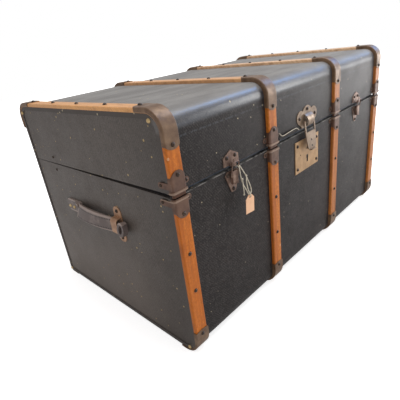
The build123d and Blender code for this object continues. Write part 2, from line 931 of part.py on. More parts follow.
def latch_lever(middle):
    """Folded channel lever that turns on the base plate's pin and carries the bail."""
    lever_high = seam - lever_axis_drop + lever_top
    lever_low = seam - lever_axis_drop - lever_bottom
    with BuildPart() as lever:
        with BuildSketch(front_face.offset(lever_back)):
            with Locations((middle, (lever_high + lever_low) / 2)):
                Rectangle(2 * lever_half_width, lever_high - lever_low)
        extrude(amount=lever_out - lever_back)
        outer_edges = lever.edges().filter_by(Axis.Z).group_by(Axis.Y)[0]
        fillet(outer_edges, radius=lever_round)
        with BuildSketch(front_face.offset(lever_back)):
            with Locations((middle, (lever_high + lever_low) / 2)):
                Rectangle(2 * (lever_half_width - lever_sheet), lever_high - lever_low)
        extrude(amount=lever_out - lever_back - lever_sheet, mode=Mode.SUBTRACT)
        with BuildSketch(Plane.XY.offset(lever_low)):
            with Locations((middle, front - lever_out + lever_round)):
                Rectangle(
                    2 * (lever_half_width - lever_round),
                    lever_lip + lever_round,
                    align=(Align.CENTER, Align.MAX),
                )
        extrude(amount=lever_sheet)
        with BuildSketch(Plane.YZ.offset(middle - lever_half_width)):
            with Locations(lever_axis):
                Circle(lever_pin_radius + running_clearance)
            with Locations(bail_axis):
                Circle(bail_radius + running_clearance)
        extrude(amount=2 * lever_half_width, mode=Mode.SUBTRACT)
    return lever


def latch_bail(middle):
    """Wire bail sprung into the lever's sides, with a plate on its bar that reaches over the nose."""
    leg = lever_half_width + bail_gap + bail_radius
    tip = lever_half_width - lever_sheet - fitting_clearance
    bar_y = front - bail_bar_out
    bar_z = seam + bail_bar_rise
    axis_y, axis_z = bail_axis
    with BuildPart() as bail:
        with BuildLine() as wire:
            FilletPolyline(
                (middle - tip, axis_y, axis_z),
                (middle - leg, axis_y, axis_z),
                (middle - leg, bar_y, bar_z),
                (middle + leg, bar_y, bar_z),
                (middle + leg, axis_y, axis_z),
                (middle + tip, axis_y, axis_z),
                radius=bail_corner,
            )
        with BuildSketch(Plane(origin=wire.line @ 0, z_dir=wire.line % 0)):
            Circle(bail_radius)
        sweep()
        with BuildSketch(Plane(origin=(middle, bar_y, bar_z), z_dir=(0, -1, 0))):
            with Locations((0, -bail_plate_height / 2)):
                Rectangle(bail_plate_width, bail_plate_height)
        extrude(amount=sheet / 2, both=True)
    return bail


for latch_name, middle in latch_places.items():
    finish(latch_lever(middle), f"{latch_name}_latch_lever")
    finish(latch_bail(middle), f"{latch_name}_latch_bail")


# ================================================================ end handles
def on_end(side, along, height, out):
    """Plane on an end board at a place along the depth and a height, moved out."""
    return Plane(
        origin=(side * (length / 2 - end_inset + out), along, height),
        x_dir=(0, side, 0),
        z_dir=(side, 0, 0),
    )


def strap_arch(side, inset, mode=Mode.ADD):
    """Flat-topped arch of the bridge over the handle's neck, moved inwards, in the open sketch."""
    half = bridge_height / 2 - inset
    with BuildLine() as outline:
        FilletPolyline(
            (0, -half),
            (bridge_out - inset, -half),
            (bridge_out - inset, half),
            (0, half),
            radius=bridge_corner - inset,
        )
        Line((0, half), (0, -half))
    make_face(outline.edges(), mode=mode)


def handle_bridge(side):
    """Steel loop on a round-ended plate at the front end of a handle."""
    with BuildPart() as bridge:
        with BuildSketch(on_end(side, bridge_y, handle_height, 0)):
            SlotOverall(bridge_plate_height, bridge_plate_width, rotation=90)
        extrude(amount=plate)
        loop_plane = Plane(
            origin=(side * (length / 2 - end_inset), bridge_y - bridge_width / 2, handle_height),
            x_dir=(side, 0, 0),
            z_dir=(0, side, 0),
        )
        with BuildSketch(loop_plane):
            strap_arch(side, 0)
            strap_arch(side, plate, mode=Mode.SUBTRACT)
        extrude(amount=side * bridge_width)
    return bridge


def handle_chape(side):
    """Riveted leather chape behind a handle, raised at its front to hold the grip's pin."""
    chape_length = chape_end - chape_start
    middle = (chape_end + chape_start) / 2
    with BuildPart() as chape:
        with BuildSketch(on_end(side, middle, handle_height, 0)):
            RectangleRounded(chape_length, 2 * chape_half_height, chape_corner)
            with Locations((-side * chape_length / 4, 0)):
                Rectangle(chape_length / 2, 2 * chape_half_height)
        extrude(amount=chape_boss_out)
        profile = Plane(
            origin=(side * (length / 2 - end_inset), 0, handle_height),
            x_dir=(0, 1, 0),
            z_dir=(0, 0, -side),
        )
        ramp_start = chape_start + chape_boss_length
        with BuildSketch(profile):
            with BuildLine():
                Polyline(
                    (chape_start, 0),
                    (chape_end, 0),
                    (chape_end, chape_leather),
                    (ramp_start + chape_ramp_length, chape_leather),
                    (ramp_start, chape_boss_out),
                    (chape_start, chape_boss_out),
                    close=True,
                )
            make_face()
        extrude(amount=chape_half_height, both=True, mode=Mode.INTERSECT)
        with BuildSketch(grip_section(side, chape_start)):
            Circle(grip_pin_radius + running_clearance)
        extrude(amount=grip_pin_length, mode=Mode.SUBTRACT)
    return chape


def grip_section(side, along):
    """Plane across the handle's axis at a place along the depth, facing back."""
    return Plane(
        origin=(side * (length / 2 - end_inset + handle_axis_out), along, handle_height),
        x_dir=(side, 0, 0),
        z_dir=(0, 1, 0),
    )


def handle_grip(side):
    """Bowed leather grip: its neck lies in the bridge and ends in a coil, and a pin ends its back."""
    with BuildPart() as grip:
        for along, out, turn, half_thickness in grip_stations:
            with BuildSketch(grip_section(side, along)):
                with Locations(Location((out, 0), -side * turn)):
                    RectangleRounded(2 * half_thickness, 2 * grip_half_height, grip_corner)
        loft()
        neck_end = roll_y + (roll_half_width + roll_eye_half_width) / 2
        with BuildSketch(grip_section(side, neck_end)):
            Rectangle(2 * neck_half_thickness, 2 * neck_half_height)
        extrude(amount=grip_start - neck_end)
        coil_back = handle_axis_out - neck_half_thickness
        with BuildSketch(on_end(side, roll_y, handle_height, coil_back)):
            Ellipse(roll_half_width, roll_half_height)
            Ellipse(roll_eye_half_width, roll_eye_half_height, mode=Mode.SUBTRACT)
        extrude(amount=roll_depth)
        with BuildSketch(grip_section(side, grip_end)):
            Circle(grip_pin_radius)
        extrude(amount=grip_pin_length)
    return grip


for side_name, side in sides.items():
    finish(handle_bridge(side), f"{side_name}_handle_bridge")
    finish(handle_chape(side), f"{side_name}_handle_keeper")
    grip = handle_grip(side)
    grip_axis_x = side * (length / 2 - end_inset + handle_axis_out)
    grip_line = Axis((grip_axis_x, 0, handle_height), (0, 1, 0))
    tilted = grip.part.rotate(grip_line, -side * handle_tilt)
    tilted.label = f"{side_name}_handle_grip"
    export_step(tilted, f"parts/{side_name}_handle_grip.step")


# ================================================================ nails and rivets
def dome(radius, height):
    """Domed head standing on its plane, in the open part."""
    ball = (radius**2 + height**2) / (2 * height)
    Sphere(
        ball,
        arc_size1=degrees(asin((ball - height) / ball)),
        align=(Align.CENTER, Align.CENTER, Align.MIN),
    )


def on_front(across, height, out):
    """Plane on the front of the case, moved out."""
    return Plane(origin=(across, front - out, height), z_dir=(0, -1, 0))


def on_back(across, height, out):
    """Plane on the back of the case, moved out."""
    return Plane(origin=(across, back + out, height), z_dir=(0, 1, 0))


def ear_rivets(rim, toward, ear_middle, end_rivet):
    """Planes of the two rivets in each clasp's ears."""
    height = rim + toward * ear_middle
    spots = []
    for place in slat_places:
        for out in (-1, 1):
            if abs(place) == outer_slat_x and out * place > 0:
                spots.append(on_end(out, front + end_rivet, height, end_inset + skin))
            else:
                across = place + out * (slat_width / 2 + fitting_clearance + ear_rivet_out)
                spots.append(on_front(across, height, sheet))
    return spots


clasp_base_nail = seam - clasp_base_height + clasp_nail_back
clasp_lid_nail = lid_rim + clasp_lid_height - clasp_nail_back
base_cap_nail = base_cap_top + cap_base_arch - cap_base_nail_back
cap_face_nail = cap_face_leg + cap_arch - cap_face_nail_back
cap_top_nail = cap_top_leg + cap_arch - cap_top_nail_back
front_cap_nail = top - front_top_radius - cap_face_nail
back_cap_nail = top - back_top_radius - cap_face_nail
first_top_nail = front + front_top_radius + cap_top_nail
last_top_nail = back - back_top_radius - cap_top_nail
top_nail_step = (last_top_nail - first_top_nail) / (top_nail_count - 1)

with BuildPart() as base_nails:
    spots = []
    for place, heights in zip(slat_places, slat_nail_heights):
        spots += [on_front(place, bottom + height, slat_thickness) for height in heights]
        spots.append(on_front(place, base_cap_nail, cap_face_out))
        spots.append(on_front(place, clasp_base_nail, cap_face_out))
    for across in (lock_x - lock_nail_x, lock_x + lock_nail_x):
        spots.append(on_front(across, lock_z - lock_nail_z, plate))
        spots.append(on_front(across, lock_z + lock_nail_z, plate))
    for middle in latch_places.values():
        spots.append(on_front(middle - latch_base_nail_x, seam - latch_base_nail_z, plate))
        spots.append(on_front(middle + latch_base_nail_x, seam - latch_base_nail_z, plate))
        spots.append(on_front(middle, seam - latch_tip_nail, plate))
    for side in sides.values():
        for reach in (-bridge_nail_z, bridge_nail_z):
            spots.append(on_end(side, bridge_y, handle_height + reach, plate))
    with Locations(*spots):
        dome(nail_radius, nail_height)
    spots = ear_rivets(seam, -1, ear_base_drop, end_ear_base_rivet)
    for side in sides.values():
        spots.append(on_end(side, back - dark_nail_back, seam - dark_nail_offset, 0))
    for place in hinge_places:
        for across in (-leaf_screw_x, leaf_screw_x):
            spots.append(on_back(place + across, hinge_z - leaf_screw_z, leaf_thickness))
    with Locations(*spots):
        dome(rivet_radius, rivet_height)
finish(base_nails, "base_nails")

with BuildPart() as lid_nails:
    spots = []
    for place in slat_places:
        spots.append(on_front(place, clasp_lid_nail, cap_face_out))
        spots.append(on_front(place, front_cap_nail, cap_face_out))
        spots.append(on_back(place, back_cap_nail, cap_face_out))
        for step in range(top_nail_count):
            on_cap = step in (0, top_nail_count - 1)
            out = cap_face_out if on_cap else slat_thickness
            spots.append(Plane(origin=(place, first_top_nail + step * top_nail_step, top + out)))
    for middle in latch_places.values():
        spots.append(on_front(middle - latch_nail_x, lid_rim + latch_nail_z, plate))
        spots.append(on_front(middle + latch_nail_x, lid_rim + latch_nail_z, plate))
    spots.append(on_front(lock_x, lid_rim + hasp_top_nail_rise, plate))
    spots.append(on_front(lock_x - hasp_side_nail_x, lid_rim + hasp_side_nail_rise, plate))
    spots.append(on_front(lock_x + hasp_side_nail_x, lid_rim + hasp_side_nail_rise, plate))
    with Locations(*spots):
        dome(nail_radius, nail_height)
    spots = ear_rivets(lid_rim, 1, ear_lid_rise, end_ear_lid_rivet)
    for side in sides.values():
        spots.append(on_end(side, back - dark_nail_back, seam + dark_nail_offset, 0))
    for place in hinge_places:
        for across in (-leaf_screw_x, leaf_screw_x):
            spots.append(on_back(place + across, hinge_z + leaf_screw_z, leaf_thickness))
    with Locations(*spots):
        dome(rivet_radius, rivet_height)
finish_on_lid(lid_nails, "lid_nails")

with BuildPart() as base_brass_nails:
    spots = []
    for side in sides.values():
        along, rise = base_front_brass
        spots.append(on_end(side, front + along, bottom + rise, end_inset))
        along, rise = base_back_brass
        spots.append(on_end(side, back - along, bottom + rise, end_inset))
        for along in chape_rivets:
            spots.append(on_end(side, along, handle_height - chape_rivet_drop, chape_leather))
    with Locations(*spots):
        dome(nail_radius, nail_height)
finish(base_brass_nails, "base_brass_nails")

with BuildPart() as lid_brass_nails:
    spots = []
    for side in sides.values():
        along, drop = lid_front_brass
        spots.append(on_end(side, front + along, top - drop, end_inset))
        along, drop = lid_back_brass
        spots.append(on_end(side, back - along, top - drop, end_inset))
    with Locations(*spots):
        dome(nail_radius, nail_height)
finish_on_lid(lid_brass_nails, "lid_brass_nails")


# ================================================================ tag on its string
latch_x = latch_places["left"]


def on_latch(point):
    """Place of a point given across, out and up from the left latch."""
    across, out, up = point
    return (latch_x + across, front - out, seam + up)


def bend_radii(points):
    """Largest even bends that the runs on both sides of each point allow."""
    radii = []
    for before, here, after in zip(points, points[1:], points[2:]):
        run_in = Vector(*here) - Vector(*before)
        run_out = Vector(*after) - Vector(*here)
        half_turn = radians(run_in.get_angle(run_out)) / 2
        radii.append(bend_share * min(run_in.length, run_out.length) / tan(half_turn))
    return radii


def string(points):
    """Cotton string of even runs and bends along a route."""
    route = [on_latch(point) for point in points]
    radii = bend_radii(route)
    with BuildPart() as strand:
        with BuildLine() as line:
            FilletPolyline(*route, radius=radii)
        with BuildSketch(Plane(origin=line.line @ 0, z_dir=line.line % 0)):
            Circle(string_radius)
        sweep()
    return strand


finish(string(left_strand), "string_left")
finish(string(right_strand), "string_right")
finish(string(inner_strand), "string_inner")
finish(string(tail_strand), "string_tail")

tag_hole_z = seam - tag_drop
leg_out = bail_bar_out - bail_axis_out
leg_rise = bail_bar_rise + bail_axis_drop
leg_share = (bail_ring_rise + bail_axis_drop) / leg_rise
leg_across = lever_half_width + bail_gap + bail_radius

# the rings of string round the bail and through the tag, and the three knots
with BuildPart() as string_knots:
    bail_ring = Plane(
        origin=on_latch((leg_across, bail_axis_out + leg_share * leg_out, bail_ring_rise)),
        z_dir=(0, -leg_out, leg_rise),
    )
    with Locations(bail_ring):
        Torus(bail_radius + running_clearance + string_radius, string_radius)
    ring_low = tag_hole_z + tag_hole_radius - running_clearance - string_radius
    tag_ring = Plane(
        origin=(latch_x + tag_across, front - tag_out - tag_thickness / 2, ring_low + tag_ring_radius),
        z_dir=(1, 0, 0),
    )
    with Locations(tag_ring):
        Torus(tag_ring_radius, string_radius)
    across, out, up = tail_strand[-1]
    tail_end = (across, out, up - knot_radius + string_radius)
    with Locations(on_latch(tail_join), on_latch(inner_join), on_latch(tail_end)):
        Sphere(knot_radius)
finish(string_knots, "string_knots")

with BuildPart() as price_tag:
    tag_face = Plane(
        origin=(latch_x + tag_across, front - tag_out, tag_hole_z),
        x_dir=(cos(radians(tag_turn)), 0, -sin(radians(tag_turn))),
        z_dir=(0, -1, 0),
    )
    with BuildSketch(tag_face):
        with BuildLine():
            Polyline(
                (-tag_width / 2, tag_hole_down - tag_height),
                (tag_width / 2, tag_hole_down - tag_height),
                (tag_width / 2, tag_hole_down - tag_corner),
                (tag_width / 2 - tag_corner, tag_hole_down),
                (tag_corner - tag_width / 2, tag_hole_down),
                (-tag_width / 2, tag_hole_down - tag_corner),
                close=True,
            )
        make_face()
        Circle(tag_hole_radius, mode=Mode.SUBTRACT)
    extrude(amount=tag_thickness)
finish(price_tag, "price_tag")
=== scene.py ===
"""Looks of the wood-slatted travel trunk, built round its CAD frame. Metres, but the twine's stops in mm."""
import bpy
import json
from math import radians
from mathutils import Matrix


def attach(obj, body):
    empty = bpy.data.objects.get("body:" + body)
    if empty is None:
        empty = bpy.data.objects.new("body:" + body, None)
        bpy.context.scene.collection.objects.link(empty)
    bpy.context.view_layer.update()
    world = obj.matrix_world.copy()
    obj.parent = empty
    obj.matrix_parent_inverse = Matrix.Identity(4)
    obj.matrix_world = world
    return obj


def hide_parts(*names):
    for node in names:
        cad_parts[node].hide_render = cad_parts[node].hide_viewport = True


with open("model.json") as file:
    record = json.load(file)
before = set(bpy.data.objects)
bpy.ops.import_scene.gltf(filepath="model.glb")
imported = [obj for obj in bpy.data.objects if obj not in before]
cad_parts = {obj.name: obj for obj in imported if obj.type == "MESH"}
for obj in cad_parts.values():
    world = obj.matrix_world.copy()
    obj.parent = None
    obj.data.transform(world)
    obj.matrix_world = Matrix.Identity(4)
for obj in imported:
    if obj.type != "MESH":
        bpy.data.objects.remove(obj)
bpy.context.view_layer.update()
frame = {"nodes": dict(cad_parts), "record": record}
nodes = frame["nodes"]


# ---------------------------------------------------------------- places on the trunk
# x runs along the trunk from its middle, y is negative toward the front, z is up from the floor
end_x = 0.457
seam_z = 0.362
canvas_y = -0.2705
latch_x = -0.2955
grip_z = 0.260
slats_x = (-0.42, 0.30)
rim_heights = (0.3606, 0.3624)
crease_heights = (0.4595, 0.4612)
rounding_heights = (0.480, 0.493)
rounding_depths = (-0.262, -0.244)
canvas_top_heights = (0.485, 0.499)
slat_top_heights = (0.485, 0.505)
under_clasp_heights = (0.3552, 0.3695)
clasp_rims = ((0.3560, 0.3605), (0.3712, 0.3752))
strap_reach = (-0.069, 0.0685)
strap_fold = (0.0678, 0.0712)
strap_edge_widths = (0.0120, 0.0130)
stitch_row_widths = (0.0090, 0.0110)
# each hole is its middle in x, its lowest and highest z, and its reach to either side; the metal there is
# painted dark as the hole's shade
keyhole = ((0.0035, 0.2800, 0.2950, 0.0030), (0.0035, 0.2905, 0.2980, 0.0042))
pin_hole = ((-0.0305, 0.3050, 0.3070, 0.0011),)
hasp_holes = ((0.0035, 0.3222, 0.3260, 0.0021), (0.0035, 0.3371, 0.3409, 0.0021))


# ---------------------------------------------------------------- camera
focal_length = 32.38
sensor_width = 36.0
camera_place = (-0.8039, -0.7062, 0.6062)
camera_turn = (65.387, 6.946, -46.641)

camera_data = bpy.data.cameras.new("camera")
camera_data.lens = focal_length
camera_data.sensor_width = sensor_width
camera_data.sensor_fit = "HORIZONTAL"
camera_data.clip_start = 0.01
camera = bpy.data.objects.new("camera", camera_data)
camera.location = camera_place
camera.rotation_euler = [radians(angle) for angle in camera_turn]
bpy.context.scene.collection.objects.link(camera)
bpy.context.scene.camera = camera


# ---------------------------------------------------------------- tools for shader nodes
VALUE, COLOUR, VECTOR = "NodeSocketFloat", "NodeSocketColor", "NodeSocketVector"


def colour(red, green, blue):
    """Linear colour from the 0 to 255 numbers of a colour picker."""
    channels = []
    for part in (red, green, blue):
        share = part / 255
        channels.append(share / 12.92 if share <= 0.04045 else ((share + 0.055) / 1.055) ** 2.4)
    return (*channels, 1.0)


def set_input(tree, socket, value):
    """Link a socket to another, or give it a value of its own."""
    if isinstance(value, bpy.types.NodeSocket):
        tree.links.new(value, socket)
    else:
        socket.default_value = value


def put(tree, kind, inputs=None, **settings):
    """Add a shader node, set its properties, and set or link its inputs."""
    node = tree.nodes.new(kind)
    for name, value in settings.items():
        setattr(node, name, value)
    for name, value in (inputs or {}).items():
        set_input(tree, node.inputs[name], value)
    return node


def maths(tree, operation, *values, clamp=False):
    """Math node on one, two or three values, as a socket."""
    node = put(tree, "ShaderNodeMath", dict(enumerate(values)), operation=operation)
    node.use_clamp = clamp
    return node.outputs[0]


def times(tree, first, second, clamp=False):
    """Product of two values, as a socket."""
    return maths(tree, "MULTIPLY", first, second, clamp=clamp)


def ramp(tree, value, low, high, start=0.0, end=1.0):
    """Smooth step of a value between two limits, as a socket."""
    limits = {"Value": value, "From Min": low, "From Max": high, "To Min": start, "To Max": end}
    return put(tree, "ShaderNodeMapRange", limits, interpolation_type="SMOOTHSTEP").outputs["Result"]


def band(tree, value, low, high, soft):
    """Mask that is 1 between two limits of a value and fades outside them."""
    rise = ramp(tree, value, low - soft, low)
    fall = ramp(tree, value, high, high + soft, start=1.0, end=0.0)
    return times(tree, rise, fall)


def blend_colours(tree, mask, first, second):
    """Colour between two others by a mask, as a socket."""
    return put(tree, "ShaderNodeMix", {0: mask, 6: first, 7: second}, data_type="RGBA").outputs[2]


def lay(tree, under, mask, paint, share=1.0):
    """Paint laid over a colour by a mask, at most to a share, as a socket."""
    if share < 1.0:
        mask = times(tree, mask, share)
    return blend_colours(tree, mask, under, paint)


def noise(tree, vector, scale=1.0, detail=3.0, rough=0.55):
    """Noise value on a vector, as a socket."""
    settings = {"Vector": vector, "Scale": scale, "Detail": detail, "Roughness": rough}
    return put(tree, "ShaderNodeTexNoise", settings).outputs["Fac"]


def stretched(tree, vector, scale):
    """Vector multiplied by three factors, as a socket."""
    return put(tree, "ShaderNodeVectorMath", {0: vector, 1: scale}, operation="MULTIPLY").outputs["Vector"]


def joined(tree, **parts):
    """Vector from values for its X, Y and Z, as a socket."""
    return put(tree, "ShaderNodeCombineXYZ", parts).outputs[0]


def parts_of(tree, place):
    """X, Y and Z of a place, as sockets."""
    return put(tree, "ShaderNodeSeparateXYZ", {"Vector": place}).outputs


def new_group(name, inputs, outputs):
    """Shader node group with named sockets: returns its tree, its inner inputs and its inner outputs."""
    tree = bpy.data.node_groups.new(name, "ShaderNodeTree")
    for socket_name, kind, default in inputs:
        socket = tree.interface.new_socket(socket_name, in_out="INPUT", socket_type=kind)
        if default is not None:
            socket.default_value = default
    for socket_name, kind in outputs:
        tree.interface.new_socket(socket_name, in_out="OUTPUT", socket_type=kind)
    return tree, tree.nodes.new("NodeGroupInput").outputs, tree.nodes.new("NodeGroupOutput").inputs


def use_group(tree, group, inputs):
    """Place a node group in a material and set or link its inputs: returns its outputs."""
    return put(tree, "ShaderNodeGroup", inputs, node_tree=group).outputs


# ---------------------------------------------------------------- shared effects
full_turn = 6.2832
rib_slope = 0.8
counter_slope = 1.2
counter_pitches = 0.5
counter_weight = 0.35


def build_specks():
    """Scattered small spots: paint flecks, dust and chips."""
    tree, given, result = new_group(
        "specks",
        [("Vector", VECTOR, None), ("Spacing", VALUE, 60.0), ("Size", VALUE, 0.12), ("Share", VALUE, 0.2)],
        [("Mask", VALUE)],
    )
    cells = put(tree, "ShaderNodeTexVoronoi", {"Vector": given["Vector"], "Scale": given["Spacing"]})
    chosen = put(tree, "ShaderNodeSeparateColor", {"Color": cells.outputs["Color"]})
    present = maths(tree, "LESS_THAN", chosen.outputs[0], given["Share"])
    width = times(tree, chosen.outputs[1], given["Size"])
    spot = maths(tree, "LESS_THAN", cells.outputs["Distance"], width)
    tree.links.new(times(tree, spot, present), result["Mask"])
    return tree


def build_blotches():
    """Soft uneven patches between two limits of a noise."""
    tree, given, result = new_group(
        "blotches",
        [("Vector", VECTOR, None), ("Scale", VALUE, 8.0), ("Low", VALUE, 0.4), ("High", VALUE, 0.6)],
        [("Mask", VALUE)],
    )
    value = noise(tree, given["Vector"], given["Scale"], detail=4.0, rough=0.6)
    tree.links.new(ramp(tree, value, given["Low"], given["High"]), result["Mask"])
    return tree


def build_twill():
    """Diagonal ribs of a twill weave, with threads of uneven weight."""
    tree, given, result = new_group(
        "twill",
        [("Along", VALUE, 0.0), ("Up", VALUE, 0.0), ("Pitch", VALUE, 0.0024)],
        [("Height", VALUE), ("Threads", VALUE)],
    )
    along, up, pitch = given["Along"], given["Up"], given["Pitch"]
    slant = maths(tree, "ADD", along, times(tree, up, rib_slope))
    rib = maths(tree, "SINE", times(tree, maths(tree, "DIVIDE", slant, pitch), full_turn))
    counter = maths(tree, "SUBTRACT", along, times(tree, up, counter_slope))
    cross_turns = maths(tree, "DIVIDE", counter, times(tree, pitch, counter_pitches))
    cross = maths(tree, "SINE", times(tree, cross_turns, full_turn))
    weave = maths(tree, "ADD", rib, times(tree, cross, counter_weight))
    spot = joined(tree, X=along, Y=up)
    threads_up = noise(tree, stretched(tree, spot, (40.0, 700.0, 1.0)), detail=2.0)
    threads_along = noise(tree, stretched(tree, spot, (700.0, 40.0, 1.0)), detail=2.0)
    threads = times(tree, maths(tree, "ADD", threads_up, threads_along), 0.5)
    tree.links.new(maths(tree, "MULTIPLY_ADD", weave, 0.25, 0.5), result["Height"])
    tree.links.new(threads, result["Threads"])
    return tree


def build_grain():
    """Straight wood grain with darker growth lines and pores, along the second coordinate."""
    tree, given, result = new_group(
        "grain",
        [("Across", VALUE, 0.0), ("Along", VALUE, 0.0), ("Depth", VALUE, 0.0)],
        [("Lines", VALUE), ("Pores", VALUE)],
    )
    spot = joined(tree, X=given["Across"], Y=given["Along"], Z=given["Depth"])
    waver = noise(tree, stretched(tree, spot, (30.0, 4.0, 30.0)), detail=2.0)
    straight = stretched(tree, spot, (170.0, 5.0, 170.0))
    aside = joined(tree, X=times(tree, waver, 3.0))
    moved = put(tree, "ShaderNodeVectorMath", {0: straight, 1: aside}, operation="ADD").outputs[0]
    lines = noise(tree, moved, detail=4.0, rough=0.6)
    pores = noise(tree, stretched(tree, spot, (900.0, 30.0, 900.0)), detail=2.0)
    tree.links.new(ramp(tree, lines, 0.35, 0.68), result["Lines"])
    tree.links.new(ramp(tree, pores, 0.56, 0.72), result["Pores"])
    return tree


def build_tarnish():
    """Old metal: bare colour, tarnish and rust by patches, with fine pitting."""
    tree, given, result = new_group(
        "tarnish",
        [
            ("Vector", VECTOR, None), ("Bare", COLOUR, None), ("Tarnish", COLOUR, None),
            ("Rust", COLOUR, None), ("Tarnish Share", VALUE, 0.5), ("Rust Share", VALUE, 0.25),
        ],
        [("Color", COLOUR), ("Height", VALUE), ("Dull", VALUE)],
    )

    def patch(value, share, soft):
        """Mask where a noise is within the highest share of its range."""
        edge = maths(tree, "SUBTRACT", 1.0, share)
        return ramp(tree, value, maths(tree, "SUBTRACT", edge, soft), maths(tree, "ADD", edge, soft))

    vector = given["Vector"]
    dull = patch(noise(tree, vector, scale=55.0, detail=5.0, rough=0.6), given["Tarnish Share"], soft=0.25)
    rust = patch(noise(tree, vector, scale=140.0, detail=5.0, rough=0.65), given["Rust Share"], soft=0.09)
    mixed = blend_colours(tree, dull, given["Bare"], given["Tarnish"])
    tree.links.new(blend_colours(tree, rust, mixed, given["Rust"]), result["Color"])
    tree.links.new(noise(tree, vector, scale=520.0, detail=4.0, rough=0.7), result["Height"])
    tree.links.new(maths(tree, "MAXIMUM", dull, rust), result["Dull"])
    return tree


specks = build_specks()
blotches = build_blotches()
twill = build_twill()
grain = build_grain()
tarnish = build_tarnish()


def spots(tree, vector, spacing, size, share):
    """Mask of scattered small spots, from the specks group."""
    inputs = {"Vector": vector, "Spacing": spacing, "Size": size, "Share": share}
    return use_group(tree, specks, inputs)["Mask"]


def patches(tree, vector, low, high, scale=1.0):
    """Mask of soft uneven patches, from the blotches group."""
    return use_group(tree, blotches, {"Vector": vector, "Scale": scale, "Low": low, "High": high})["Mask"]


# ---------------------------------------------------------------- materials
def new_material(name, roughness, metallic=0.0, coat=0.0, specular=0.5, sheen=0.0):
    """Material with one Principled BSDF: returns it, its tree, its shader and its place socket."""
    material = bpy.data.materials.new(name)
    material.use_nodes = True
    tree = material.node_tree
    shader = tree.nodes["Principled BSDF"]
    shader.inputs["Roughness"].default_value = roughness
    shader.inputs["Metallic"].default_value = metallic
    shader.inputs["Coat Weight"].default_value = coat
    shader.inputs["Specular IOR Level"].default_value = specular
    shader.inputs["Sheen Weight"].default_value = sheen
    place = put(tree, "ShaderNodeTexCoord").outputs["Object"]
    return material, tree, shader, place


def bump(tree, shader, height, strength, distance):
    """Give a shader relief from a height."""
    node = put(tree, "ShaderNodeBump", {"Height": height, "Strength": strength, "Distance": distance})
    tree.links.new(node.outputs["Normal"], shader.inputs["Normal"])


# ---------------------------------------------------------------- canvas
fine_pitch = 0.0026
coarse_pitch = 0.0058
scratch_slant = 0.7
# where the foot's dust and painted bounce light, the ends' darkening, the front's painted sheen and the
# polish begin and where they are full
foot_heights = (0.06, 0.30)
foot_depths = (-0.22, -0.05)
end_darkening_depths = (-0.12, -0.27)
front_sheen_reach = (0.02, 0.44)
front_sheen_heights = (0.10, 0.44)
lid_sheen_reach = (-0.25, 0.30)
lid_sheen_heights = (0.35, 0.46)
polish_reach = (-0.30, 0.10)
edge_reach = (end_x - 0.0015, end_x - 0.0005)
# grey of the pale threads and of the painted highlight on the coarse ribs' crests
pale_thread_and_highlight_grey = colour(124, 116, 112)
soot = colour(18, 16, 17)
scratch_grey = colour(118, 116, 114)
# colour of the ends' foot, dust and painted bounce light, and of their darkening toward the front
foot_dust_and_bounce_light = colour(122, 112, 104)
end_front_darkening = colour(50, 44, 40)
# greys of the front's painted sheen, to the right and on the lid
side_sheen_grey = colour(112, 110, 110)
lid_sheen_grey = colour(132, 129, 128)
# blue of the painted reflection on the front-top rounding
rounding_reflection_blue = colour(84, 92, 106)
rim_grey = colour(176, 174, 168)
# dust and painted sheen of the top
top_dust_and_sheen = colour(162, 160, 157)
crease_grey = colour(140, 150, 165)
edge_grey = colour(84, 78, 74)
fine_fleck = colour(150, 146, 138)
# ribs is the share of the painted highlight on the coarse ribs' crests
front_weave = {
    "axis": (0.0, 1.0, 0.0), "specular": 0.22, "ribs": 0.11, "threads": 0.22, "fleck": colour(178, 166, 138),
}
end_weave = {
    "axis": (1.0, 0.0, 0.0), "specular": 0.5, "ribs": 0.2, "threads": 0.3, "fleck": colour(170, 146, 100),
}


def woven_colour(tree, place, along, up, base, worn, weave):
    """Cloth with rubbed patches, coarse rib crests painted pale as a painted highlight, pale and dark
    threads and scratches: returns its colour and its ribs.
    """
    ribs = use_group(tree, twill, {"Along": along, "Up": up, "Pitch": fine_pitch})
    shown = lay(tree, base, patches(tree, place, low=0.4, high=0.75, scale=4.0), worn, share=0.6)
    shown = lay(tree, shown, times(tree, ribs["Height"], 0.2, clamp=True), worn)
    # the crests of the coarse ribs are painted pale: a painted highlight of the weave
    coarse = use_group(tree, twill, {"Along": along, "Up": up, "Pitch": coarse_pitch})["Height"]
    broken = ramp(tree, noise(tree, place, scale=60.0, rough=0.7), 0.35, 0.65, start=0.2)
    painted_rib_highlights = times(tree, ramp(tree, coarse, 0.25, 0.6, end=weave["ribs"]), broken)
    shown = lay(tree, shown, painted_rib_highlights, pale_thread_and_highlight_grey)
    pale_threads = noise(tree, place, scale=330.0, detail=2.0, rough=0.8)
    shown = lay(tree, shown, ramp(tree, pale_threads, 0.5, 0.66, end=weave["threads"]), pale_thread_and_highlight_grey)
    dark_threads = noise(tree, place, scale=260.0, detail=2.0, rough=0.8)
    shown = lay(tree, shown, ramp(tree, dark_threads, 0.5, 0.34, end=0.4), soot)
    turning = {"Vector": place, "Axis": weave["axis"], "Angle": scratch_slant}
    turned = put(tree, "ShaderNodeVectorRotate", turning).outputs[0]
    scratches = patches(tree, stretched(tree, turned, (12.0, 12.0, 420.0)), low=0.66, high=0.74)
    return lay(tree, shown, scratches, scratch_grey, share=0.3), ribs


def end_paler_foot_darker_front(tree, y, z, shown):
    """Dust and painted bounce light at the foot of the ends, and darker toward their front, as a colour."""
    # the foot is painted paler, dust and painted bounce light from the floor; the front of each end is laid
    # darker
    foot = times(tree, ramp(tree, z, *foot_heights, start=0.55, end=0.0), ramp(tree, y, *foot_depths))
    shown = lay(tree, shown, foot, foot_dust_and_bounce_light)
    return lay(tree, shown, ramp(tree, y, *end_darkening_depths, end=0.45), end_front_darkening)


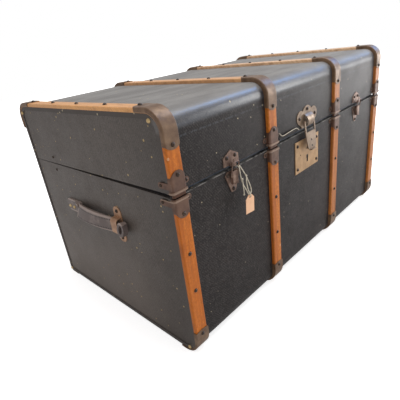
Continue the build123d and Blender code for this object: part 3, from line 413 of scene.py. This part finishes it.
def front_painted_sheen(tree, x, z, shown):
    """Painted sheen on the front, lighter to the right and on the lid, as a colour."""
    # the front is laid paler to the right and on the lid: a painted sheen
    aside = ramp(tree, x, *front_sheen_reach)
    raised = ramp(tree, z, *front_sheen_heights, start=0.1, end=0.3)
    shown = lay(tree, shown, times(tree, aside, raised), side_sheen_grey)
    on_lid = times(tree, ramp(tree, x, *lid_sheen_reach, end=0.25), ramp(tree, z, *lid_sheen_heights))
    return lay(tree, shown, on_lid, lid_sheen_grey)


def front_edges(tree, x, z, place, on_top, shown):
    """Worn rim, top with dust and painted sheen, creased lid and bare edges, as a colour."""
    rubbed = ramp(tree, noise(tree, place, scale=90.0), 0.35, 0.6)
    rim = times(tree, band(tree, z, *rim_heights, soft=0.0004), rubbed)
    shown = lay(tree, shown, rim, rim_grey, share=0.45)
    # the top is laid paler in patches: dust and a painted sheen
    dust = patches(tree, stretched(tree, place, (5.0, 16.0, 16.0)), low=0.25, high=0.8)
    dust_and_sheen = times(tree, on_top, ramp(tree, dust, 0.0, 1.0, start=0.5, end=0.78))
    shown = lay(tree, shown, dust_and_sheen, top_dust_and_sheen)
    chipped = noise(tree, stretched(tree, place, (260.0, 120.0, 120.0)))
    crease = times(tree, band(tree, z, *crease_heights, soft=0.0015), ramp(tree, chipped, 0.42, 0.6))
    shown = lay(tree, shown, crease, crease_grey, share=0.12)
    at_end = ramp(tree, maths(tree, "ABSOLUTE", x), *edge_reach)
    return lay(tree, shown, at_end, edge_grey)


def canvas_material(name, base, worn, weave):
    """Oiled canvas: faint twill ribs with painted highlights on their coarse crests, rubbed patches,
    scratches, dust, painted sheen and bounce light, a faint painted blue reflection and a few flecks of
    paint.
    """
    material, tree, shader, place = new_material(name, 0.4, specular=weave["specular"])
    x, y, z = parts_of(tree, place)
    roughness = ramp(tree, noise(tree, place, scale=14.0, detail=4.0), 0.3, 0.75, start=0.4, end=0.52)
    if weave is end_weave:
        shown, ribs = woven_colour(tree, place, y, z, base, worn, weave)
        shown = end_paler_foot_darker_front(tree, y, z, shown)
    else:
        shown, ribs = woven_colour(tree, place, x, maths(tree, "ADD", z, y), base, worn, weave)
        shown = front_painted_sheen(tree, x, z, shown)
        # the front-top rounding is painted a faint blue in patches: a painted reflection
        at_front = ramp(tree, y, *rounding_depths, start=1.0, end=0.0)
        turned = times(tree, band(tree, z, *rounding_heights, soft=0.011), at_front)
        patchy = noise(tree, stretched(tree, place, (9.0, 60.0, 60.0)))
        painted_blue_reflection = times(tree, turned, ramp(tree, patchy, 0.3, 0.6, start=0.1, end=0.35))
        shown = lay(tree, shown, painted_blue_reflection, rounding_reflection_blue)
        polish = times(tree, turned, ramp(tree, x, *polish_reach, start=1.0, end=0.1))
        tree.links.new(polish, shader.inputs["Coat Weight"])
        shader.inputs["Coat Roughness"].default_value = 0.25
        on_top = ramp(tree, z, *canvas_top_heights)
        shown = front_edges(tree, x, z, place, on_top, shown)
        roughness = maths(tree, "SUBTRACT", roughness, times(tree, turned, 0.14))
        roughness = maths(tree, "ADD", roughness, times(tree, on_top, 0.12))
    shown = lay(tree, shown, spots(tree, place, spacing=72.0, size=0.17, share=0.2), weave["fleck"])
    shown = lay(tree, shown, spots(tree, place, spacing=150.0, size=0.2, share=0.05), fine_fleck, share=0.6)
    tree.links.new(shown, shader.inputs["Base Color"])
    tree.links.new(roughness, shader.inputs["Roughness"])
    relief = maths(tree, "ADD", ribs["Height"], times(tree, ribs["Threads"], 0.6))
    bump(tree, shader, relief, strength=0.45, distance=0.0004)
    return material


# ---------------------------------------------------------------- wood
# the slats change from left to right, in their ground and in their grain; their tops are painted paler as a
# painted sheen, more so to the right
front_wood = (colour(216, 124, 38), colour(202, 128, 64))
front_grain = (colour(178, 92, 20), colour(162, 94, 42))
sheen_lit_top_wood = (colour(240, 180, 112), colour(252, 218, 180))
sheen_lit_top_grain = colour(214, 164, 116)
pore_brown = colour(104, 56, 26)
mottle_brown = colour(128, 72, 34)
dirt_brown = colour(104, 66, 40)
clasp_band_brown = colour(66, 44, 34)
bare_wood = colour(228, 190, 148)


def wood_material(name):
    """Varnished slat: soft honey grain, a darker lengthwise streak, dents and bare spots, with paler tops
    that are a painted sheen.
    """
    material, tree, shader, place = new_material(name, 0.42, specular=0.3)
    x, y, z = parts_of(tree, place)
    along = maths(tree, "ADD", y, z)
    depth = maths(tree, "SUBTRACT", y, z)
    lines = use_group(tree, grain, {"Across": x, "Along": along, "Depth": depth})
    to_right = ramp(tree, x, *slats_x)
    on_top = ramp(tree, z, *slat_top_heights)
    warm = blend_colours(tree, to_right, *front_wood)
    # the tops are laid to paler wood: a painted sheen
    warm = lay(tree, warm, on_top, blend_colours(tree, to_right, *sheen_lit_top_wood), share=0.9)
    dark = lay(tree, blend_colours(tree, to_right, *front_grain), on_top, sheen_lit_top_grain, share=0.8)
    varnish = times(tree, on_top, ramp(tree, x, *slats_x, start=0.1, end=0.7))
    tree.links.new(varnish, shader.inputs["Coat Weight"])
    shader.inputs["Coat Roughness"].default_value = 0.3
    streak = noise(tree, stretched(tree, place, (110.0, 2.5, 2.5)), detail=2.0)
    shown = lay(tree, warm, ramp(tree, streak, 0.4, 0.65, end=0.75), dark)
    shown = lay(tree, shown, lines["Lines"], dark, share=0.6)
    shown = lay(tree, shown, lines["Pores"], pore_brown, share=0.4)
    mottled = noise(tree, stretched(tree, place, (150.0, 24.0, 24.0)), detail=4.0, rough=0.7)
    shown = lay(tree, shown, ramp(tree, mottled, 0.48, 0.75, end=0.5), mottle_brown)
    shown = lay(tree, shown, patches(tree, place, low=0.62, high=0.8, scale=38.0), dirt_brown, share=0.4)
    # the wood is laid almost to dark brown in a band at the clasps' height
    shown = lay(tree, shown, band(tree, z, *under_clasp_heights, soft=0.0008), clasp_band_brown, share=0.92)
    shown = lay(tree, shown, spots(tree, place, spacing=90.0, size=0.25, share=0.05), bare_wood, share=0.5)
    tree.links.new(shown, shader.inputs["Base Color"])
    relief = maths(tree, "ADD", lines["Lines"], lines["Pores"])
    bump(tree, shader, relief, strength=0.15, distance=0.0003)
    return material


# ---------------------------------------------------------------- metal
hole_shade_fade = 0.0008
painted_hole_shade = colour(34, 26, 20)
rubbed_rim = colour(162, 138, 120)


def metal_material(name, bare, dull, rust, rust_share=0.22, roughness=0.4, metallic=0.7, rims=(), holes=()):
    """Pressed sheet metal with tarnish, rust and chips, rubbed bright at its rims, with painted shade round
    its holes.
    """
    material, tree, shader, place = new_material(name, roughness, metallic=metallic)
    paints = {"Bare": bare, "Tarnish": dull, "Rust": rust}
    shares = {"Tarnish Share": 0.5, "Rust Share": rust_share}
    aged = use_group(tree, tarnish, {"Vector": place, **paints, **shares})
    chips = spots(tree, place, spacing=210.0, size=0.22, share=0.05)
    shown = lay(tree, aged["Color"], chips, bare, share=0.5)
    spot = parts_of(tree, place)
    # round each hole the metal is painted dark: a painted shade, wider than the hole
    for middle, low, high, reach in holes:
        beside = band(tree, spot["X"], middle - reach, middle + reach, soft=hole_shade_fade)
        hole_shade_mask = times(tree, beside, band(tree, spot["Z"], low, high, soft=hole_shade_fade))
        shown = lay(tree, shown, hole_shade_mask, painted_hole_shade)
    for low, high in rims:
        shown = lay(tree, shown, band(tree, spot["Z"], low, high, soft=0.0006), rubbed_rim, share=0.6)
    tree.links.new(shown, shader.inputs["Base Color"])
    worn = ramp(tree, aged["Dull"], 0.0, 1.0, start=roughness - 0.05, end=roughness + 0.1)
    tree.links.new(worn, shader.inputs["Roughness"])
    bright = ramp(tree, aged["Dull"], 0.0, 1.0, start=metallic, end=metallic - 0.25)
    tree.links.new(bright, shader.inputs["Metallic"])
    bump(tree, shader, aged["Height"], strength=0.18, distance=0.0002)
    return material


# ---------------------------------------------------------------- leather, paper and twine
stitch_rate = 1208.0
ply_rate = 3600.0
leather_brown = colour(104, 92, 88)
rubbed_leather = colour(150, 136, 130)
leather_edge = colour(172, 154, 144)
stitch_brown = colour(34, 28, 26)
ply_shade = colour(176, 166, 146)
ply_light = colour(236, 228, 208)
fuzz_tan = colour(190, 176, 150)


def leather_material(name):
    """Old strap leather with a creased grain, pale worn edges and two rows of stitches on the grip."""
    material, tree, shader, place = new_material(name, 0.48, coat=0.1)
    spot = parts_of(tree, place)
    cells = {"Vector": place, "Scale": 380.0}
    creases = put(tree, "ShaderNodeTexVoronoi", cells, feature="DISTANCE_TO_EDGE").outputs["Distance"]
    wear = patches(tree, place, low=0.45, high=0.72, scale=45.0)
    shown = lay(tree, leather_brown, wear, rubbed_leather, share=0.6)
    off_middle = maths(tree, "ABSOLUTE", maths(tree, "SUBTRACT", spot["Z"], grip_z))
    long_edges = ramp(tree, off_middle, *strap_edge_widths)
    edge = maths(tree, "MAXIMUM", long_edges, band(tree, spot["Y"], *strap_fold, soft=0.001))
    shown = lay(tree, shown, edge, leather_edge, share=0.75)
    on_grip = band(tree, spot["Y"], *strap_reach, soft=0.001)
    row = times(tree, on_grip, band(tree, off_middle, *stitch_row_widths, soft=0.0005))
    dash = ramp(tree, maths(tree, "SINE", times(tree, spot["Y"], stitch_rate)), -0.2, 0.5)
    shown = lay(tree, shown, times(tree, row, dash), stitch_brown)
    tree.links.new(shown, shader.inputs["Base Color"])
    grained = times(tree, ramp(tree, creases, 0.0, 0.12), 0.4)
    relief = maths(tree, "SUBTRACT", grained, times(tree, row, 0.8))
    bump(tree, shader, relief, strength=0.4, distance=0.0004)
    return material


def paper_material(name, base, shade):
    """Card with soft fibres and a little soiling."""
    material, tree, shader, place = new_material(name, 0.75)
    fibres = noise(tree, stretched(tree, place, (900.0, 900.0, 300.0)), detail=4.0, rough=0.7)
    shown = lay(tree, base, patches(tree, place, low=0.45, high=0.75, scale=60.0), shade, share=0.5)
    shown = lay(tree, shown, fibres, shade, share=0.15)
    tree.links.new(shown, shader.inputs["Base Color"])
    bump(tree, shader, fibres, strength=0.15, distance=0.0002)
    return material


def twine_material(name):
    """Cotton twine with the slant of its plies."""
    material, tree, shader, place = new_material(name, 0.8, sheen=0.3)
    spot = parts_of(tree, place)
    slant = maths(tree, "ADD", spot["Z"], times(tree, spot["X"], 0.7))
    plies = maths(tree, "SINE", times(tree, slant, ply_rate))
    shown = blend_colours(tree, ramp(tree, plies, -1.0, 1.0), ply_shade, ply_light)
    shown = lay(tree, shown, noise(tree, place, scale=900.0), fuzz_tan, share=0.3)
    tree.links.new(shown, shader.inputs["Base Color"])
    bump(tree, shader, plies, strength=0.5, distance=0.0003)
    return material


# ---------------------------------------------------------------- finishes of the CAD nodes
metals = {
    "cap_steel": {
        "bare": colour(134, 108, 84), "dull": colour(94, 68, 48), "rust": colour(76, 50, 34),
        "metallic": 0.35,
    },
    "clasp_steel": {
        "bare": colour(114, 86, 70), "dull": colour(80, 54, 42), "rust": colour(66, 42, 32),
        "metallic": 0.4, "rims": clasp_rims,
    },
    "nail_steel": {
        "bare": colour(84, 70, 60), "dull": colour(46, 36, 30), "rust": colour(40, 26, 20),
        "roughness": 0.28,
    },
    "nail_brass": {
        "bare": colour(226, 200, 150), "dull": colour(186, 156, 104), "rust": colour(120, 92, 60),
    },
    "hinge_steel": {
        "bare": colour(130, 118, 108), "dull": colour(90, 76, 66), "rust": colour(86, 54, 38),
    },
    "lock_brass": {
        "bare": colour(186, 150, 108), "dull": colour(158, 124, 86), "rust": colour(130, 100, 68),
        "rust_share": 0.2, "metallic": 0.5, "holes": keyhole + pin_hole,
    },
    "lock_steel": {
        "bare": colour(140, 134, 128), "dull": colour(96, 88, 82), "rust": colour(86, 60, 46),
    },
    "hasp_steel": {
        "bare": colour(150, 128, 106), "dull": colour(118, 98, 78), "rust": colour(92, 68, 50),
        "rust_share": 0.25, "metallic": 0.45, "holes": hasp_holes,
    },
    "latch_steel": {
        "bare": colour(156, 132, 118), "dull": colour(100, 76, 64), "rust": colour(86, 54, 36),
        "rust_share": 0.34,
    },
    "bridge_steel": {
        "bare": colour(192, 152, 120), "dull": colour(156, 118, 90), "rust": colour(160, 98, 54),
        "rust_share": 0.35, "metallic": 0.4,
    },
}
finishes = {
    "front_canvas": canvas_material("front_canvas", colour(20, 15, 14), colour(38, 32, 31), front_weave),
    "end_canvas": canvas_material("end_canvas", colour(74, 66, 59), colour(96, 87, 79), end_weave),
    "paper_lining": paper_material("lining_paper", colour(196, 184, 158), colour(158, 142, 112)),
    "slat_wood": wood_material("slat_wood"),
    "tongue_wood": canvas_material("tongue_cloth", colour(90, 102, 120), colour(110, 120, 136), front_weave),
    **{slot: metal_material(slot, **look) for slot, look in metals.items()},
    "handle_leather": leather_material("handle_leather"),
    "tag_card": paper_material("tag_card", colour(250, 200, 160), colour(230, 178, 136)),
    "string_cotton": twine_material("string_cotton"),
}
for piece in frame["record"]["subparts"]:
    mesh = nodes[piece["node"]].data
    mesh.materials.clear()
    mesh.materials.append(finishes[piece["material_slot"]])


# ---------------------------------------------------------------- string of the price tag
twine_diameter = 0.0022


def on_latch(across, out, up):
    """Point on the left latch, from millimetres across, out from the canvas and up from the seam."""
    return (latch_x + across / 1000, canvas_y - out / 1000, seam_z + up / 1000)


def smooth_thread(name, points, radius, roundness, steps):
    """Round thread along its points, as a curve object."""
    data = bpy.data.curves.new(name, "CURVE")
    data.dimensions = "3D"
    data.bevel_depth = radius
    data.bevel_resolution = roundness
    data.resolution_u = steps
    spline = data.splines.new("NURBS")
    spline.points.add(len(points) - 1)
    for point, stop in zip(spline.points, points):
        point.co = (*stop, 1.0)
    spline.order_u = 3
    spline.use_endpoint_u = True
    thread = bpy.data.objects.new(name, data)
    bpy.context.scene.collection.objects.link(thread)
    return thread


def twine(name, replaced, route):
    """Hanging strand of twine along its route, hung from the left bail in place of a CAD piece, which it
    hides.
    """
    points = [on_latch(*stop) for stop in route]
    strand = smooth_thread(name, points, twine_diameter / 2, roundness=4, steps=8)
    strand.data.materials.append(finishes["string_cotton"])
    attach(strand, "left_bail")
    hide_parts(replaced)


left_strand = [
    (8.2, 12.7, 3.2), (9.8, 13.0, -6.2), (10.0, 13.6, -15.9), (9.6, 15.4, -24.2),
    (10.0, 17.6, -32.4), (12.5, 20.6, -41.5), (14.1, 23.4, -48.8), (14.9, 25.4, -53.6),
    (17.2, 26.2, -57.1),
]
right_strand = [
    (12.0, 12.5, 3.0), (16.6, 14.4, -6.3), (22.4, 15.8, -17.5), (25.9, 17.6, -27.8),
    (27.9, 20.0, -37.7), (28.6, 22.8, -46.5), (27.0, 24.6, -51.8), (24.0, 25.8, -55.2),
    (20.6, 26.3, -57.0),
]
inner_strand = [
    (21.7, 18.9, -20.4), (19.2, 20.3, -27.2), (17.7, 21.6, -34.8), (16.9, 24.0, -44.9),
    (17.3, 27.0, -53.0), (18.9, 28.1, -57.2),
]
tail_strand = [
    (9.2, 18.2, -24.0), (8.3, 19.6, -31.2), (8.3, 20.2, -39.0), (8.9, 20.2, -46.9),
    (9.4, 19.6, -54.5),
]
twine(
    "tag_twine_left", "string_left", left_strand,
)
twine("tag_twine_right", "string_right", right_strand)
twine("tag_twine_inner", "string_inner", inner_strand)
twine("tag_twine_tail", "string_tail", tail_strand)


# ---------------------------------------------------------------- canvas lifted at the lid's rim
flap_rows = 5
flap_face_y = -0.27125
flap_foot_z = 0.3706
flap_thickness = 0.0007
flap_curl = 1.5
fray_y = -0.2716
fray_radius = 0.0009
# the flap's upper edge in x and z, and how far it stands out there
ridge = [
    (-0.1235, 0.3868), (-0.1190, 0.3818), (-0.1130, 0.3776), (-0.1040, 0.3782), (-0.0950, 0.3790),
    (-0.0850, 0.3799), (-0.0750, 0.3805), (-0.0650, 0.3809), (-0.0540, 0.3811), (-0.0450, 0.3778),
    (-0.0366, 0.3722),
]
lift = [0.0004, 0.0012, 0.0026, 0.0030, 0.0030, 0.0032, 0.0030, 0.0030, 0.0026, 0.0014, 0.0004]


def ready():
    """Leave edit mode and deselect everything."""
    if bpy.context.object and bpy.context.object.mode == "EDIT":
        bpy.ops.object.mode_set(mode="OBJECT")
    bpy.ops.object.select_all(action="DESELECT")


def carry_to(mesh, spot, target):
    """Move one point of the active object's mesh to a target."""
    here = tuple(mesh.vertices[spot].co)
    for vertex in mesh.vertices:
        vertex.select = vertex.index == spot
    bpy.ops.object.mode_set(mode="EDIT")
    bpy.ops.transform.translate(value=[after - before for after, before in zip(target, here)])
    bpy.ops.object.mode_set(mode="OBJECT")


def lifted_canvas():
    """Strip of canvas that has come away from the lid above its rim."""
    ready()
    bpy.ops.mesh.primitive_grid_add(
        x_subdivisions=len(ridge) - 1, y_subdivisions=flap_rows - 1, size=1.0, location=(0.0, 0.0, 0.0)
    )
    flap = bpy.context.object
    flap.name = "lifted_canvas"
    bpy.ops.object.mode_set(mode="EDIT")
    bpy.ops.mesh.select_all(action="DESELECT")
    bpy.ops.object.mode_set(mode="OBJECT")
    for column, ((across, height), out) in enumerate(zip(ridge, lift)):
        for row in range(flap_rows):
            share = row / (flap_rows - 1)
            depth = flap_face_y - out * share ** flap_curl
            target = (across, depth, flap_foot_z + (height - flap_foot_z) * share)
            carry_to(flap.data, column + row * len(ridge), target)
    thicken = flap.modifiers.new("thicken", "SOLIDIFY")
    thicken.thickness = flap_thickness
    thicken.offset = 1.0
    smooth = flap.modifiers.new("smooth", "SUBSURF")
    smooth.levels = 2
    smooth.render_levels = 2
    for name in ("thicken", "smooth"):
        bpy.ops.object.modifier_apply(modifier=name)
    flap.data.materials.append(finishes["front_canvas"])
    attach(flap, "lid")


def frayed_edge():
    """Pale roll of torn threads along the lifted canvas's edge."""
    points = [(across, fray_y - out, height) for (across, height), out in zip(ridge, lift)]
    fray = smooth_thread("frayed_edge", points, fray_radius, roundness=3, steps=4)
    fray.data.use_fill_caps = True
    ready()
    bpy.context.view_layer.objects.active = fray
    fray.select_set(True)
    bpy.ops.object.convert(target="MESH")
    bpy.ops.object.mode_set(mode="EDIT")
    bpy.ops.mesh.select_all(action="SELECT")
    bpy.ops.mesh.remove_doubles(threshold=0.00001)
    bpy.ops.mesh.normals_make_consistent(inside=False)
    bpy.ops.object.mode_set(mode="OBJECT")
    fray.data.materials.clear()
    fray.data.materials.append(finishes["string_cotton"])
    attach(fray, "lid")


lifted_canvas()
frayed_edge()


# ---------------------------------------------------------------- floor, light and background
white = (1.0, 1.0, 1.0, 1.0)
floor_white = (0.85, 0.85, 0.85, 1.0)
sky_grey = (0.58, 0.565, 0.565, 1.0)
sky_blue = (0.16, 0.44, 1.0)
floor_size = 12.0
floor_drop = 0.0006
# how far from the middle the floor's glow begins to rise and stops, and its strength at both
glow_reach = (0.45, 1.15)
glow_near = 0.68
glow_far = 1.2


def stage_material(name):
    """Plain matte floor that shows pale behind and round the object, as light that only the view sees."""
    material, tree, shader, place = new_material(name, 0.9, specular=0.1)
    shader.inputs["Base Color"].default_value = floor_white
    seen = put(tree, "ShaderNodeLightPath").outputs["Is Camera Ray"]
    outward = stretched(tree, place, (0.75, 1.0, 0.0))
    away = put(tree, "ShaderNodeVectorMath", {0: outward}, operation="LENGTH").outputs["Value"]
    glow = times(tree, seen, ramp(tree, away, *glow_reach, start=glow_near, end=glow_far))
    shader.inputs["Emission Color"].default_value = white
    tree.links.new(glow, shader.inputs["Emission Strength"])
    return material


def softbox(name, place, turn, size, power, tint=(1.0, 1.0, 1.0), only_gloss=False):
    """Large area lamp, turned in degrees, which may show only as a reflection on glossy surfaces."""
    data = bpy.data.lights.new(name, "AREA")
    data.shape = "RECTANGLE"
    data.size, data.size_y = size
    data.energy = power
    data.color = tint
    lamp = bpy.data.objects.new(name, data)
    lamp.location = place
    lamp.rotation_euler = [radians(angle) for angle in turn]
    lamp.visible_camera = False
    lamp.visible_diffuse = not only_gloss
    bpy.context.scene.collection.objects.link(lamp)


bpy.ops.object.select_all(action="DESELECT")
bpy.ops.mesh.primitive_plane_add(size=floor_size, location=(0.0, 0.0, -floor_drop))
floor = bpy.context.object
floor.name = "studio_floor"
floor.data.materials.append(stage_material("studio_floor"))

world = bpy.data.worlds.new("studio")
bpy.context.scene.world = world
world.use_nodes = True
sky = world.node_tree
seen = put(sky, "ShaderNodeLightPath").outputs["Is Camera Ray"]
sky.links.new(blend_colours(sky, seen, sky_grey, white), sky.nodes["Background"].inputs["Color"])

softbox("key_lamp", place=(0.5, -0.5, 2.6), turn=(8.0, 10.0, 0.0), size=(1.8, 1.8), power=32.0)
softbox("side_lamp", place=(1.9, -1.5, 0.9), turn=(0.0, 78.0, -38.0), size=(1.0, 1.0), power=16.0)
softbox(
    "sky_lamp", place=(1.885, -0.585, 1.735), turn=(25.2, 54.4, 20.7), size=(1.75, 0.7), power=20.0,
    tint=sky_blue, only_gloss=True,
)
softbox(
    "low_lamp", place=(2.3, -1.15, 0.35), turn=(90.0, 0.0, 62.0), size=(1.3, 0.7), power=10.0,
    only_gloss=True,
)

bpy.context.scene.view_settings.view_transform = "Standard"
